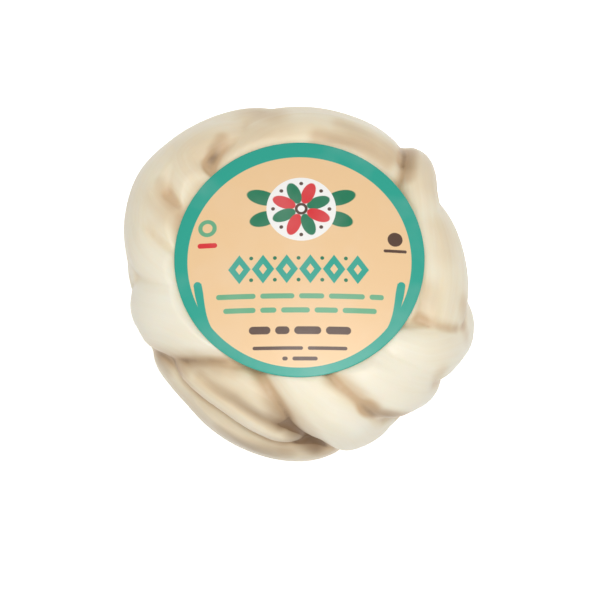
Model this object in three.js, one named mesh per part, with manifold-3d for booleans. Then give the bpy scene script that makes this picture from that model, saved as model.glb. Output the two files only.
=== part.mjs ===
// A large ball of string cheese (quesillo): one long rope of cheese wound over itself into a
// flattened ball, with a round paper label on its crown. Millimetres, +Z up, flat foot on Z = 0.
import * as THREE from "three";
import { mergeVertices } from "three/addons/utils/BufferGeometryUtils.js";
import Module from "manifold-3d";

// Driving dimensions
const meanRadius = 98; // of the ball seen from above
const leanTowards = 125; // turn, in degrees, of the side that stands out most
const leanOut = 6; // how far the ball is pushed out towards that side
const ovalOut = 6; // how far both ends of that line stand out, and the sides pull in
const halfHeight = 45; // from the widest level to the crown
const squareness = 3; // 2 is a round section, more is flatter on top and fuller at the rim
const coreDepth = 9; // how deep the grooves between strands can get
const footDepth = 41; // from the widest level down to the flat foot

const labelDiameter = 138;
const labelThickness = 0.6;
const labelSag = 7; // how far the label's edge lies below its middle
const labelLift = 1.2; // of the label's middle over the crown of the bare ball
const paperGap = 0.3; // between the label and the cheese
const pressSlope = 0.35; // rise per length of what the label's edge lets stand around it

// Fineness of the faceted solids
const strandAround = 12;
const strandAlong = 21;
const coreAround = 30;
const coreAlong = 15;
const labelAround = 48;
const labelRings = 3;

// Strands of the rope where it shows. A path's points are [turn, tilt, lift]: turn is in degrees
// anticlockwise from +X seen from above, tilt in degrees down from the crown, and lift is how far
// the strand's skin stands out of the bare ball. A strand starts and ends sunk in its neighbours.
const topStrands = [
  // far left, a broad strand that follows the rim
  {
    halfWidth: 22,
    halfHeight: 17,
    path: [
      [-164, 62, -7], [-177, 58, -0.5], [172, 57, 0], [158, 60, 2.5], [145, 61, 4.3],
      [131, 62, 1.5], [118, 62, -0.5], [107, 63, -2], [98, 67, -5], [88, 74, -11], [80, 82, -17],
    ],
  },
  // the same side, one that turns off the rim and in under the label
  {
    halfWidth: 14,
    halfHeight: 12,
    path: [
      [148, 62, -12], [158, 61, -1], [166, 58, 2], [174, 52, 3], [-179, 45, 3.5], [-172, 38, 3.5],
      [-167, 31, 2.5], [-162, 22, -8],
    ],
  },
  // left, two that come out from under the label and turn along the rim
  {
    halfWidth: 14.5,
    halfHeight: 11,
    path: [
      [178, 16, -8], [172.5, 23, -0.5], [167.5, 31, 2.2], [163, 39, 3.5], [158.5, 47, 4],
      [153.5, 54.5, 4.5], [148, 60, 3.5], [142, 63, -1.5], [136, 65, -8],
    ],
  },
  {
    halfWidth: 17,
    halfHeight: 13,
    path: [
      [157, 12, -6], [151.5, 19, -0.5], [148, 27, 1.5], [145, 35, 3], [142, 43, 4], [137, 50, 4.4],
      [129, 51, 3.8], [120, 49, 2.6], [111, 46, 0.5], [102, 45, -3], [95, 44, -9],
    ],
  },
  // far side, from beside the knob across to the left and in under the label
  {
    halfWidth: 23,
    halfHeight: 16,
    path: [
      [37, 80, -11], [45, 73, -1], [53, 68, 2.2], [64, 63, 3], [76, 57, 2], [87, 52.5, 1],
      [98, 48.5, 0], [109, 43.5, 0.3], [119, 38, 0.2], [130, 31, -1], [143, 19, -6],
    ],
  },
  // two thin strands that lie in the fold between it and the label
  {
    halfWidth: 10,
    halfHeight: 11,
    path: [
      [36, 63, -11], [43, 54, -1], [53, 46, 2], [64, 41, 2], [75, 37, 1], [88, 32, -3],
      [100, 27, -8],
    ],
  },
  {
    halfWidth: 12,
    halfHeight: 11,
    path: [
      [68, 34, -8], [80, 34, -3], [92, 34, -2], [104, 33, -2.5], [114, 31, -4], [122, 28, -9],
    ],
  },
  // right, one that lies mostly under the label
  {
    halfWidth: 14,
    halfHeight: 12,
    path: [
      [42, 38, -8], [29, 36, -1], [12, 34, 0.5], [-5, 34, 0.5], [-19, 35, 0.3], [-31, 37, -2.5],
      [-42, 40, -9],
    ],
  },
  // right, up over the rim in a knob and down beside the label
  {
    halfWidth: 13.5,
    halfHeight: 14,
    path: [
      [56, 118, -9], [53, 104, 2], [50, 94, 8], [46, 82, 9], [41, 69, 8.5], [35, 60, 6],
      [26, 54, 3.5], [10, 47.5, 2.5], [-6, 46, 2], [-19, 47, 1.5], [-28, 50, -1], [-37, 55, -6],
      [-46, 61, -13],
    ],
  },
  // right rim, outside it
  {
    halfWidth: 18,
    halfHeight: 14,
    path: [
      [40, 86, -11], [29, 69, -1], [17, 64.5, 3], [3, 64, 4], [-8, 64, 4], [-18, 64, 3.5],
      [-26, 67.5, 0.5], [-33, 73, -5], [-40, 82, -13],
    ],
  },
  // near right, one that hooks round the rim to the right
  {
    halfWidth: 20,
    halfHeight: 17,
    path: [
      [-57, 20, -8], [-50, 31, -1], [-45, 43, 2], [-39.5, 57, 3.5], [-33, 73, 5], [-24.5, 89, 6],
      [-14.5, 101, 7], [-3, 116, 1], [8, 130, -9],
    ],
  },
  // the low one in the fold beside it
  {
    halfWidth: 13,
    halfHeight: 10,
    path: [
      [-62, 24, -8], [-57, 36, 0.5], [-52, 49, 3], [-47, 62, 3.5], [-42.5, 76, 2.5], [-38, 90, -4],
    ],
  },
  // near right, a broad one that goes down over the rim
  {
    halfWidth: 19,
    halfHeight: 17,
    path: [
      [-78, 22, -8], [-69, 35, 0.5], [-61, 48, 4], [-54, 64, 4.5], [-47, 84, 3], [-37, 106, 0],
      [-24, 126, -7],
    ],
  },
  // near side, the broadest of them
  {
    halfWidth: 21,
    halfHeight: 19,
    path: [
      [-110, 22, -8], [-99, 35, 0], [-89.5, 46, 2], [-81, 59, 3], [-74.5, 75, 4], [-69.5, 92, 3],
      [-60, 111, -1], [-47, 130, -8],
    ],
  },
  // near left, a bundle of three that dives under the broad one
  {
    halfWidth: 14,
    halfHeight: 13,
    path: [
      [-160, 76, -12], [-148, 70, -7], [-137, 62, -2], [-124, 57, 0.3], [-112, 57, 1.5],
      [-102, 62, 0.8], [-94.5, 70, -1], [-87, 79, -7],
    ],
  },
  {
    halfWidth: 9,
    halfHeight: 9,
    path: [
      [-150, 84, -14], [-144, 78, -5], [-136.5, 72, 0], [-128, 71, 1.7], [-117, 71.8, 2.5],
      [-108.5, 76.5, 3], [-102, 81, 3], [-96, 85, 2.7], [-91, 88, -0.5], [-86, 92, -8],
    ],
  },
  {
    halfWidth: 18.5,
    halfHeight: 13,
    path: [
      [-163, 97, -9], [-151, 92, 1], [-141, 91, 1.8], [-132, 92.5, 2.2], [-120, 97, 4.5],
      [-108, 103, 6.2], [-96, 106, 6.5], [-84, 107, 4.5], [-75, 108, -0.5], [-64, 110, -11],
    ],
  },
  // left, out from under the label and down over the rim
  {
    halfWidth: 24,
    halfHeight: 18,
    path: [
      [-101, 20, -8], [-116, 28, 0], [-131, 32, 3], [-144.5, 38.5, 4.3], [-156.5, 47.5, 4.3],
      [-163, 61, 3], [-167, 77, 1], [-172, 96, -2.5], [-179, 116, -9],
    ],
  },
  // round the far side below the rim
  {
    halfWidth: 17,
    halfHeight: 16,
    path: [
      [-178, 96, -10], [166, 98, -1], [148, 100, 0], [130, 101, 0], [112, 102, 0], [94, 102, 0],
      [76, 98, 0], [62, 88, -8],
    ],
  },
  // round the right side below the rim
  {
    halfWidth: 15,
    halfHeight: 15,
    path: [
      [48, 104, -8], [34, 100, 0], [20, 98, 2], [4, 98, 2], [-8, 104, -6],
    ],
  },
];

// Underneath, the rope comes in from the rim in a pinwheel of like strands, and its end lies
// across their middle
const underStrand = {
  path: [[0, 88, -12], [12, 106, -4], [26, 124, 0], [44, 142, 0], [68, 158, -1], [104, 170, -8]],
  halfWidth: 20,
  halfHeight: 17,
};
const ropeEnd = {
  path: [[-110, 144, -9], [-106, 158, -1], [-100, 174, 1], [76, 170, 1], [72, 156, 0], [64, 142, -8]],
  halfWidth: 16,
  halfHeight: 15,
};
const underFirstTurn = -80;
const underUneven = [-6, -2, 2, 5, -3, 0, -5, 4]; // how far each is turned from even spacing, in degrees

// The ball's bare shape
const radians = THREE.MathUtils.degToRad;
const centreHeight = footDepth;

function rimRadius(turn) {
  const from = turn - radians(leanTowards);
  return meanRadius + leanOut * Math.cos(from) + ovalOut * Math.cos(2 * from);
}

function rounded(value) {
  return Math.sign(value) * Math.abs(value) ** (2 / squareness);
}

// The way out of the ball at a point given from its centre
function outwardAt(point) {
  const turn = Math.atan2(point.y, point.x);
  const radius = rimRadius(turn);
  const across = Math.hypot(point.x, point.y) / radius;
  const up = point.z / halfHeight;
  const power = squareness - 1;
  const flat = across ** power / radius;
  return new THREE.Vector3(
    flat * Math.cos(turn),
    flat * Math.sin(turn),
    (Math.sign(up) * Math.abs(up) ** power) / halfHeight,
  ).normalize();
}

function ballPoint(turnDegrees, tiltDegrees, lift) {
  const turn = radians(turnDegrees);
  const tilt = radians(tiltDegrees);
  const across = rimRadius(turn) * rounded(Math.sin(tilt));
  const point = new THREE.Vector3(
    across * Math.cos(turn),
    across * Math.sin(turn),
    halfHeight * rounded(Math.cos(tilt)),
  );
  return point.addScaledVector(outwardAt(point), lift);
}

// Solids
const wasm = await Module();
wasm.setup();

function solidFrom(geometry) {
  const bare = geometry.clone();
  bare.deleteAttribute("normal");
  bare.deleteAttribute("uv");
  const merged = mergeVertices(bare, 1e-3);
  return new wasm.Manifold(
    new wasm.Mesh({
      numProp: 3,
      vertProperties: new Float32Array(merged.attributes.position.array),
      triVerts: new Uint32Array(merged.index.array),
    }),
  );
}

function geometryFrom(solid) {
  const mesh = solid.getMesh();
  const geometry = new THREE.BufferGeometry();
  geometry.setAttribute("position", new THREE.BufferAttribute(mesh.vertProperties, 3));
  geometry.setIndex(new THREE.BufferAttribute(mesh.triVerts, 1));
  geometry.computeVertexNormals();
  return geometry;
}

// Moves every vertex of a geometry to where place(vertex) puts it
function reshaped(geometry, place) {
  const positions = geometry.attributes.position;
  const vertex = new THREE.Vector3();
  for (let i = 0; i < positions.count; i += 1) {
    vertex.fromBufferAttribute(positions, i);
    const moved = place(vertex);
    positions.setXYZ(i, moved.x, moved.y, moved.z);
  }
  return geometry;
}

// A ball drawn out along a path: full along most of its length, with round closed ends
function strandGeometry({ path, halfWidth, halfHeight: strandHalfHeight }) {
  const centres = path.map(([turn, tilt, lift]) => ballPoint(turn, tilt, lift - strandHalfHeight));
  const curve = new THREE.CatmullRomCurve3(centres, false, "centripetal");
  const ball = new THREE.SphereGeometry(1, strandAround, strandAlong);
  return reshaped(ball, (vertex) => {
    const along = Math.acos(THREE.MathUtils.clamp(vertex.y, -1, 1)) / Math.PI;
    const ring = Math.hypot(vertex.x, vertex.z);
    const centre = curve.getPointAt(along);
    if (ring < 1e-6) {
      return centre;
    }
    const tangent = curve.getTangentAt(along);
    const side = outwardAt(centre).cross(tangent).normalize();
    const up = tangent.clone().cross(side);
    const fullness = Math.sqrt(1 - Math.abs(2 * along - 1) ** 5);
    return centre
      .addScaledVector(side, (vertex.x / ring) * halfWidth * fullness)
      .addScaledVector(up, (vertex.z / ring) * strandHalfHeight * fullness);
  });
}

function coreGeometry() {
  const ball = new THREE.SphereGeometry(1, coreAround, coreAlong).rotateX(Math.PI / 2);
  return reshaped(ball, (vertex) => {
    const turn = THREE.MathUtils.radToDeg(Math.atan2(vertex.y, vertex.x));
    const tilt = THREE.MathUtils.radToDeg(Math.acos(THREE.MathUtils.clamp(vertex.z, -1, 1)));
    return ballPoint(turn, tilt, -coreDepth);
  });
}

// Height of the label's underside over the ball's centre, at a distance from its axis
function labelUnderside(distance) {
  const share = distance / (labelDiameter / 2);
  return halfHeight + labelLift - labelSag * share * share;
}

// A round body whose top or bottom follows the label, from a profile of [distance, height]
function turned(profile, segments) {
  const points = profile.map(([distance, height]) => new THREE.Vector2(distance, height));
  return new THREE.LatheGeometry(points, segments).rotateX(Math.PI / 2);
}

function ringDistances(outer, rings) {
  return Array.from({ length: rings + 1 }, (_, i) => (outer * i) / rings);
}

function labelGeometry() {
  const distances = ringDistances(labelDiameter / 2, labelRings);
  const under = distances.map((d) => [d, labelUnderside(d)]);
  const over = distances.map((d) => [d, labelUnderside(d) + labelThickness]).reverse();
  return turned([...under, ...over], labelAround);
}

// What the label presses flat: all that would stand above its underside, opening outwards past
// its edge
function pressGeometry() {
  const edge = labelDiameter / 2 + paperGap;
  const distances = ringDistances(edge, labelRings);
  const under = distances.map((d) => [d, labelUnderside(d) - paperGap]);
  const flare = [edge + halfHeight, labelUnderside(edge) + halfHeight * pressSlope];
  const above = halfHeight * 3;
  return turned([...under, flare, [flare[0], above], [0, above]], labelAround);
}

// The smooth crown that carries the label
function crownGeometry() {
  const reach = labelDiameter * 0.44;
  const distances = ringDistances(reach, labelRings);
  const over = distances.map((d) => [d, labelUnderside(d) - paperGap - 0.2]).reverse();
  return turned([[0, 0], [reach * 0.9, 0], ...over], labelAround);
}

function cheeseSolid() {
  const underStrands = underUneven.map((shift, i) => ({
    ...underStrand,
    path: underStrand.path.map(([turn, tilt, lift]) => [
      turn + underFirstTurn + shift + (360 / underUneven.length) * i,
      tilt,
      lift,
    ]),
  }));
  let solid = solidFrom(coreGeometry()).add(solidFrom(crownGeometry()));
  for (const strand of [...topStrands, ...underStrands, ropeEnd]) {
    solid = solid.add(solidFrom(strandGeometry(strand)));
  }
  const wide = meanRadius * 3;
  const floor = new THREE.BoxGeometry(wide, wide, wide).translate(0, 0, -wide / 2 - footDepth);
  return solid.subtract(solidFrom(floor)).subtract(solidFrom(pressGeometry()));
}

// Scene
const cheeseFinish = new THREE.MeshStandardMaterial({ color: 0xeee3cc, roughness: 0.42, metalness: 0 });
const labelFinish = new THREE.MeshStandardMaterial({ color: 0x3aa48c, roughness: 0.5, metalness: 0 });

const part = new THREE.Group();
const cheese = new THREE.Mesh(geometryFrom(cheeseSolid()), cheeseFinish);
cheese.name = "cheese";
const label = new THREE.Mesh(labelGeometry(), labelFinish);
label.name = "label";
part.add(cheese, label);

// The origin is under the middle of the ball, on its foot
cheese.geometry.computeBoundingBox();
const middle = cheese.geometry.boundingBox.getCenter(new THREE.Vector3());
for (const mesh of part.children) {
  mesh.position.set(-middle.x, -middle.y, centreHeight);
}

export default part;
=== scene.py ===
import math

import bpy
import numpy as np
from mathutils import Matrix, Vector


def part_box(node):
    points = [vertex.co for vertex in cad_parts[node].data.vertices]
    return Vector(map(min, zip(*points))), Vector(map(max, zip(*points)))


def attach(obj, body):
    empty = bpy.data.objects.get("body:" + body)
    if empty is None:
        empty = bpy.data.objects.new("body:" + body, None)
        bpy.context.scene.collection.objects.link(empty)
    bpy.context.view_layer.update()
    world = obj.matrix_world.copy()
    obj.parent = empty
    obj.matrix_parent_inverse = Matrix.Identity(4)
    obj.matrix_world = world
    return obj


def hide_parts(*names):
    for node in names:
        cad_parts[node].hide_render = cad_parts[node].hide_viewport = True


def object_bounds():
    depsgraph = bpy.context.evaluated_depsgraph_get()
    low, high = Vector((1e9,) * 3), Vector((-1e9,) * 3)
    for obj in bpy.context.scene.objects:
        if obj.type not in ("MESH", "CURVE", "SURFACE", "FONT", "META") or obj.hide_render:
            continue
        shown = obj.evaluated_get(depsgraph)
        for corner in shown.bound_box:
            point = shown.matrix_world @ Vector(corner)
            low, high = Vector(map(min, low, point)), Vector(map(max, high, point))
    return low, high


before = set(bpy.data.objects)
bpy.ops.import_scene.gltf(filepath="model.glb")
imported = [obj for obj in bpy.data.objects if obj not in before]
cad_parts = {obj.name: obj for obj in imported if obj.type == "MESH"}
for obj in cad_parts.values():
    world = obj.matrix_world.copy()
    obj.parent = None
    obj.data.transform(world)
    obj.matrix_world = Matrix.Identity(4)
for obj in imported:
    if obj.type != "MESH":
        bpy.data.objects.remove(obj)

cadLow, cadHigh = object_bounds()
mm = 0.001


class Wire:  # a socket in a shader or geometry tree that Python's operators work on
    def __init__(self, tree, socket):
        self.tree = tree
        self.socket = socket

    def maths(self, operation, *others):
        return self.tree.add("ShaderNodeMath", {"operation": operation}, dict(enumerate((self, *others))))

    def __add__(self, other):
        return self.maths("ADD", other)

    def __sub__(self, other):
        return self.maths("SUBTRACT", other)

    def __mul__(self, other):
        return self.maths("MULTIPLY", other)

    def __truediv__(self, other):
        return self.maths("DIVIDE", other)

    def __pow__(self, other):
        return self.maths("POWER", other)

    def __rsub__(self, other):
        return self.maths("MULTIPLY", -1.0).maths("ADD", other)

    __radd__ = __add__
    __rmul__ = __mul__

    def abs(self):
        return self.maths("ABSOLUTE")

    def sqrt(self):
        return self.maths("SQRT")

    def least(self, other):
        return self.maths("MINIMUM", other)

    def most(self, other):
        return self.maths("MAXIMUM", other)

    def ramp(self, low, high):  # smoothly from 0 at low to 1 at high, or from 1 down to 0 if low > high
        start, end = (0.0, 1.0) if low < high else (1.0, 0.0)
        return self.tree.add(
            "ShaderNodeMapRange",
            {"interpolation_type": "SMOOTHSTEP"},
            {"Value": self, "From Min": min(low, high), "From Max": max(low, high),
             "To Min": start, "To Max": end},
        )


class Tree:  # builds nodes in one tree
    def __init__(self, nodeTree):
        self.nodes = nodeTree.nodes
        self.links = nodeTree.links

    def node(self, kind, settings=None, inputs=None):
        node = self.nodes.new(kind)
        for name, value in (settings or {}).items():
            setattr(node, name, value)
        for name, value in (inputs or {}).items():
            if isinstance(value, Wire):
                self.links.new(value.socket, node.inputs[name])
            else:
                node.inputs[name].default_value = value
        return node

    def add(self, kind, settings=None, inputs=None, output=0):
        return Wire(self, self.node(kind, settings, inputs).outputs[output])

    def vector(self, operation, *values, output=0):
        return self.add("ShaderNodeVectorMath", {"operation": operation}, dict(enumerate(values)), output)

    def scaled(self, vector, amount):
        return self.add("ShaderNodeVectorMath", {"operation": "SCALE"}, {0: vector, "Scale": amount})

    def combine(self, x, y, z):
        return self.add("ShaderNodeCombineXYZ", None, {"X": x, "Y": y, "Z": z})

    def split(self, vector):
        node = self.node("ShaderNodeSeparateXYZ", None, {"Vector": vector})
        return [Wire(self, socket) for socket in node.outputs]

    def noise(self, vector, scale, detail=2.0, roughness=0.5):
        return self.add(
            "ShaderNodeTexNoise", None,
            {"Vector": vector, "Scale": scale, "Detail": detail, "Roughness": roughness},
        )

    def blend(self, factor, first, second):  # of two colours
        settings = {"data_type": "RGBA", "blend_type": "MIX", "clamp_factor": True}
        return self.add("ShaderNodeMix", settings, {0: factor, 6: first, 7: second}, output=2)


class GeometryTree(Tree):  # a Geometry Nodes group with named inputs
    kinds = {
        "geometry": "NodeSocketGeometry",
        "number": "NodeSocketFloat",
        "count": "NodeSocketInt",
        "vector": "NodeSocketVector",
        "object": "NodeSocketObject",
        "material": "NodeSocketMaterial",
    }

    def __init__(self, name, inputs):
        self.group = bpy.data.node_groups.new(name, "GeometryNodeTree")
        super().__init__(self.group)
        interface = self.group.interface
        interface.new_socket(name="Geometry", in_out="OUTPUT", socket_type=self.kinds["geometry"])
        interface.new_socket(name="Geometry", in_out="INPUT", socket_type=self.kinds["geometry"])
        self.identifiers = {}
        for inputName, kind in inputs.items():
            socket = interface.new_socket(name=inputName, in_out="INPUT", socket_type=self.kinds[kind])
            self.identifiers[inputName] = socket.identifier
        self.entry = self.node("NodeGroupInput")

    def given(self, name):
        return Wire(self, self.entry.outputs[name])

    def named(self, name, dataType="FLOAT_VECTOR"):
        return self.add("GeometryNodeInputNamedAttribute", {"data_type": dataType}, {"Name": name})

    def store(self, geometry, name, value, dataType="FLOAT_VECTOR"):
        settings = {"data_type": dataType, "domain": "POINT"}
        return self.add(
            "GeometryNodeStoreNamedAttribute", settings,
            {"Geometry": geometry, "Name": name, "Value": value},
        )

    def blur(self, value, times, dataType="FLOAT_VECTOR"):
        return self.add("GeometryNodeBlurAttribute", {"data_type": dataType},
                        {0: value, "Iterations": times, "Weight": 1.0})

    def moved(self, geometry, position):
        return self.add("GeometryNodeSetPosition", None, {"Geometry": geometry, "Position": position})

    def finish(self, geometry):
        whole = self.add("GeometryNodeRealizeInstances", None, {"Geometry": geometry})
        dressed = self.add("GeometryNodeSetMaterial", None,
                           {"Geometry": whole, "Material": self.given("Material")})
        exitNode = self.node("NodeGroupOutput")
        self.links.new(dressed.socket, exitNode.inputs["Geometry"])

    # an input that values doesn't give comes from shape, where Fold Length is named foldLength
    def applyTo(self, thing, values, shape):
        modifier = thing.modifiers.new(self.group.name, "NODES")
        modifier.node_group = self.group
        for name, identifier in self.identifiers.items():
            key = name[0].lower() + name[1:].replace(" ", "")
            modifier[identifier] = values[name] if name in values else shape[key]


def newObject(name, points, edges=(), faces=()):
    mesh = bpy.data.meshes.new(name)
    mesh.from_pydata([tuple(p) for p in points], edges, faces)
    thing = bpy.data.objects.new(name, mesh)
    bpy.context.collection.objects.link(thing)
    return thing


def plainMesh(thing, name):  # the evaluated object as a new object with a plain mesh
    evaluated = thing.evaluated_get(bpy.context.evaluated_depsgraph_get())
    mesh = bpy.data.meshes.new_from_object(evaluated)
    made = bpy.data.objects.new(name, mesh)
    bpy.context.collection.objects.link(made)
    return made


def remove(things):
    for thing in things:
        bpy.data.objects.remove(thing, do_unlink=True)


ball = {  # the bare ball, a squarish round that the strands are laid on
    "meanRadius": 98 * mm,
    "leanTowards": 125,  # degrees from +X
    "leanOut": 6 * mm,
    "ovalOut": 6 * mm,
    "halfHeight": 45 * mm,
    "squareness": 3,  # 2 is a plain round
}
labelShape = {
    "thickness": 0.6 * mm,
    "sag": 7 * mm,  # from its middle to its edge
    "lift": 1.2 * mm,  # its underside above the bare ball's crown
    "gap": 0.3 * mm,  # between it and the cheese
    "rings": 60,
    "around": 300,
    "ripple": 0.16 * mm,  # how far its edge lifts here and there
    "rippleStart": 0.7,
    "edge": 0.12 * mm,  # bevel
}

labelLow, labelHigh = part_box("label")
labelRadius = (labelHigh.x - labelLow.x) / 2
crown = labelHigh.z - labelShape["thickness"]
centre = np.array([
    (labelLow.x + labelHigh.x) / 2,
    (labelLow.y + labelHigh.y) / 2,
    crown - labelShape["lift"] - ball["halfHeight"],
])


def rimRadius(turn):  # the bare ball's radius at its widest, towards turn
    start = turn - math.radians(ball["leanTowards"])
    return ball["meanRadius"] + ball["leanOut"] * np.cos(start) + ball["ovalOut"] * np.cos(2 * start)


def rounded(value):  # a sine or cosine, made squarer
    return np.sign(value) * np.abs(value) ** (2 / ball["squareness"])


def ballPoint(turnDegrees, tiltDegrees, lift):  # a point above the bare ball, from its centre
    turn, tilt = np.radians(turnDegrees), np.radians(tiltDegrees)
    across = rimRadius(turn) * rounded(np.sin(tilt))
    height = ball["halfHeight"] * rounded(np.cos(tilt))
    point = np.stack([across * np.cos(turn), across * np.sin(turn), height], -1)
    return point + outwardAt(point) * np.asarray(lift)[..., None]


def outwardAt(point):  # the way out of the ball at a point given from its centre
    turn = np.arctan2(point[..., 1], point[..., 0])
    radius = rimRadius(turn)
    power = ball["squareness"] - 1
    flat = (np.hypot(point[..., 0], point[..., 1]) / radius) ** power / radius
    up = point[..., 2] / ball["halfHeight"]
    steep = np.sign(up) * np.abs(up) ** power / ball["halfHeight"]
    way = np.stack([flat * np.cos(turn), flat * np.sin(turn), steep], -1)
    return way / np.linalg.norm(way, axis=-1, keepdims=True)


def smoothPath(points, steps):  # centripetal Catmull-Rom curve, in even steps along its length
    spanSteps = 40
    ends = [2 * points[0] - points[1], *points, 2 * points[-1] - points[-2]]
    spans = []
    for a, b, c, d in zip(ends, ends[1:], ends[2:], ends[3:]):
        gaps = [math.sqrt(np.linalg.norm(q - p)) for p, q in ((a, b), (b, c), (c, d))]
        leave = ((b - a) / gaps[0] - (c - a) / (gaps[0] + gaps[1]) + (c - b) / gaps[1]) * gaps[1]
        reach = ((c - b) / gaps[1] - (d - b) / (gaps[1] + gaps[2]) + (d - c) / gaps[2]) * gaps[1]
        t = np.linspace(0, 1, spanSteps, endpoint=False)[:, None]
        square = 3 * (c - b) - 2 * leave - reach
        cube = 2 * (b - c) + leave + reach
        spans.append(b + leave * t + square * t**2 + cube * t**3)
    dense = np.vstack([*spans, points[-1:]])
    along = np.concatenate([[0], np.cumsum(np.linalg.norm(np.diff(dense, axis=0), axis=1))])
    even = np.linspace(0, along[-1], steps)
    return np.stack([np.interp(even, along, dense[:, i]) for i in range(3)], -1), along[-1]


# A strand's path has [turn, tilt, lift] points on the bare ball: degrees from +X, degrees down from the
# crown, and millimetres that its skin stands out. wide and high are half its section in millimetres, and
# tan is how tan its skin is made, partly as ageing and partly as painted shade: the far strands and the
# lower left bundle get the most.
topStrands = [
    {"wide": 22, "high": 17, "tan": 0.35, "path": [  # far left rim
        [-164, 62, -7], [-177, 58, -0.5], [172, 57, 0], [158, 60, 2.5], [145, 61, 4.3], [131, 62, 1.5],
        [118, 62, -0.5], [107, 63, -2], [98, 67, -5], [88, 74, -11], [80, 82, -17]]},
    {"wide": 14, "high": 12, "tan": 0.35, "path": [  # rim strand turning in
        [148, 62, -12], [158, 61, -1], [166, 58, 2], [174, 52, 3], [-179, 45, 3.5], [-172, 38, 3.5],
        [-167, 31, 2.5], [-162, 22, -8]]},
    {"wide": 14.5, "high": 11, "tan": 0.35, "path": [  # left band
        [178, 16, -8], [172.5, 23, -0.5], [167.5, 31, 2.2], [163, 39, 3.5], [158.5, 47, 4],
        [153.5, 54.5, 4.5], [148, 60, 3.5], [142, 63, -1.5], [136, 65, -8]]},
    {"wide": 17, "high": 13, "tan": 0.4, "path": [  # knuckle
        [157, 12, -6], [151.5, 19, -0.5], [148, 27, 1.5], [145, 35, 3], [142, 43, 4], [137, 50, 4.4],
        [129, 51, 3.8], [120, 49, 2.6], [111, 46, 0.5], [102, 45, -3], [95, 44, -9]]},
    {"wide": 23, "high": 16, "tan": 0.35, "path": [  # far side
        [37, 80, -11], [45, 73, -1], [53, 68, 2.2], [64, 63, 3], [76, 57, 2], [87, 52.5, 1], [98, 48.5, 0],
        [109, 43.5, 0.3], [119, 38, 0.2], [130, 31, -1], [143, 19, -6]]},
    {"wide": 10, "high": 11, "tan": 0.15, "path": [  # far side below the label
        [36, 63, -11], [43, 54, -1], [53, 46, 2], [64, 41, 2], [75, 37, 1], [88, 32, -3], [100, 27, -8]]},
    {"wide": 12, "high": 11, "tan": 0.1, "path": [  # far filler
        [68, 34, -8], [80, 34, -3], [92, 34, -2], [104, 33, -2.5], [114, 31, -4], [122, 28, -9]]},
    {"wide": 14, "high": 12, "tan": 0.2, "path": [  # right filler
        [42, 38, -8], [29, 36, -1], [12, 34, 0.5], [-5, 34, 0.5], [-19, 35, 0.3], [-31, 37, -2.5],
        [-42, 40, -9]]},
    {"wide": 13.5, "high": 14, "tan": 0.3, "path": [  # knob and right
        [56, 118, -9], [53, 104, 2], [50, 94, 8], [46, 82, 9], [41, 69, 8.5], [35, 60, 6], [26, 54, 3.5],
        [10, 47.5, 2.5], [-6, 46, 2], [-19, 47, 1.5], [-28, 50, -1], [-37, 55, -6], [-46, 61, -13]]},
    {"wide": 18, "high": 14, "tan": 0.3, "path": [  # right rim
        [40, 86, -11], [29, 69, -1], [17, 64.5, 3], [3, 64, 4], [-8, 64, 4], [-18, 64, 3.5],
        [-26, 67.5, 0.5], [-33, 73, -5], [-40, 82, -13]]},
    {"wide": 20, "high": 17, "tan": 0, "path": [  # near right hook
        [-57, 20, -8], [-50, 31, -1], [-45, 43, 2], [-39.5, 57, 3.5], [-33, 73, 5], [-24.5, 89, 6],
        [-14.5, 101, 7], [-3, 116, 1], [8, 130, -9]]},
    {"wide": 13, "high": 10, "tan": 0, "path": [  # near right filler
        [-62, 24, -8], [-57, 36, 0.5], [-52, 49, 3], [-47, 62, 3.5], [-42.5, 76, 2.5], [-38, 90, -4]]},
    {"wide": 19, "high": 17, "tan": 0, "path": [  # near right
        [-78, 22, -8], [-69, 35, 0.5], [-61, 48, 4], [-54, 64, 4.5], [-47, 84, 3], [-37, 106, 0],
        [-24, 126, -7]]},
    {"wide": 21, "high": 19, "tan": 0, "path": [  # broad near
        [-110, 22, -8], [-99, 35, 0], [-89.5, 46, 2], [-81, 59, 3], [-74.5, 75, 4], [-69.5, 92, 3],
        [-60, 111, -1], [-47, 130, -8]]},
    {"wide": 14, "high": 13, "tan": 0.3, "path": [  # lower left inner
        [-160, 76, -12], [-148, 70, -7], [-137, 62, -2], [-124, 57, 0.3], [-112, 57, 1.5], [-102, 62, 0.8],
        [-94.5, 70, -1], [-87, 79, -7]]},
    {"wide": 9, "high": 9, "tan": 0.4, "path": [  # lower left middle
        [-150, 84, -14], [-144, 78, -5], [-136.5, 72, 0], [-128, 71, 1.7], [-117, 71.8, 2.5],
        [-108.5, 76.5, 3], [-102, 81, 3], [-96, 85, 2.7], [-91, 88, -0.5], [-86, 92, -8]]},
    {"wide": 18.5, "high": 13, "tan": 0.35, "path": [  # lower left outer
        [-163, 97, -9], [-151, 92, 1], [-141, 91, 1.8], [-132, 92.5, 2.2], [-120, 97, 4.5],
        [-108, 103, 6.2], [-96, 106, 6.5], [-84, 107, 4.5], [-75, 108, -0.5], [-64, 110, -11]]},
    {"wide": 24, "high": 18, "tan": 0, "path": [  # left
        [-101, 20, -8], [-116, 28, 0], [-131, 32, 3], [-144.5, 38.5, 4.3], [-156.5, 47.5, 4.3],
        [-163, 61, 3], [-167, 77, 1], [-172, 96, -2.5], [-179, 116, -9]]},
    {"wide": 17, "high": 16, "tan": 0.3, "path": [  # far side below rim
        [-178, 96, -10], [166, 98, -1], [148, 100, 0], [130, 101, 0], [112, 102, 0], [94, 102, 0],
        [76, 98, 0], [62, 88, -8]]},
    {"wide": 15, "high": 15, "tan": 0.3, "path": [  # right side below rim
        [48, 104, -8], [34, 100, 0], [20, 98, 2], [4, 98, 2], [-8, 104, -6]]},
]
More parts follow.
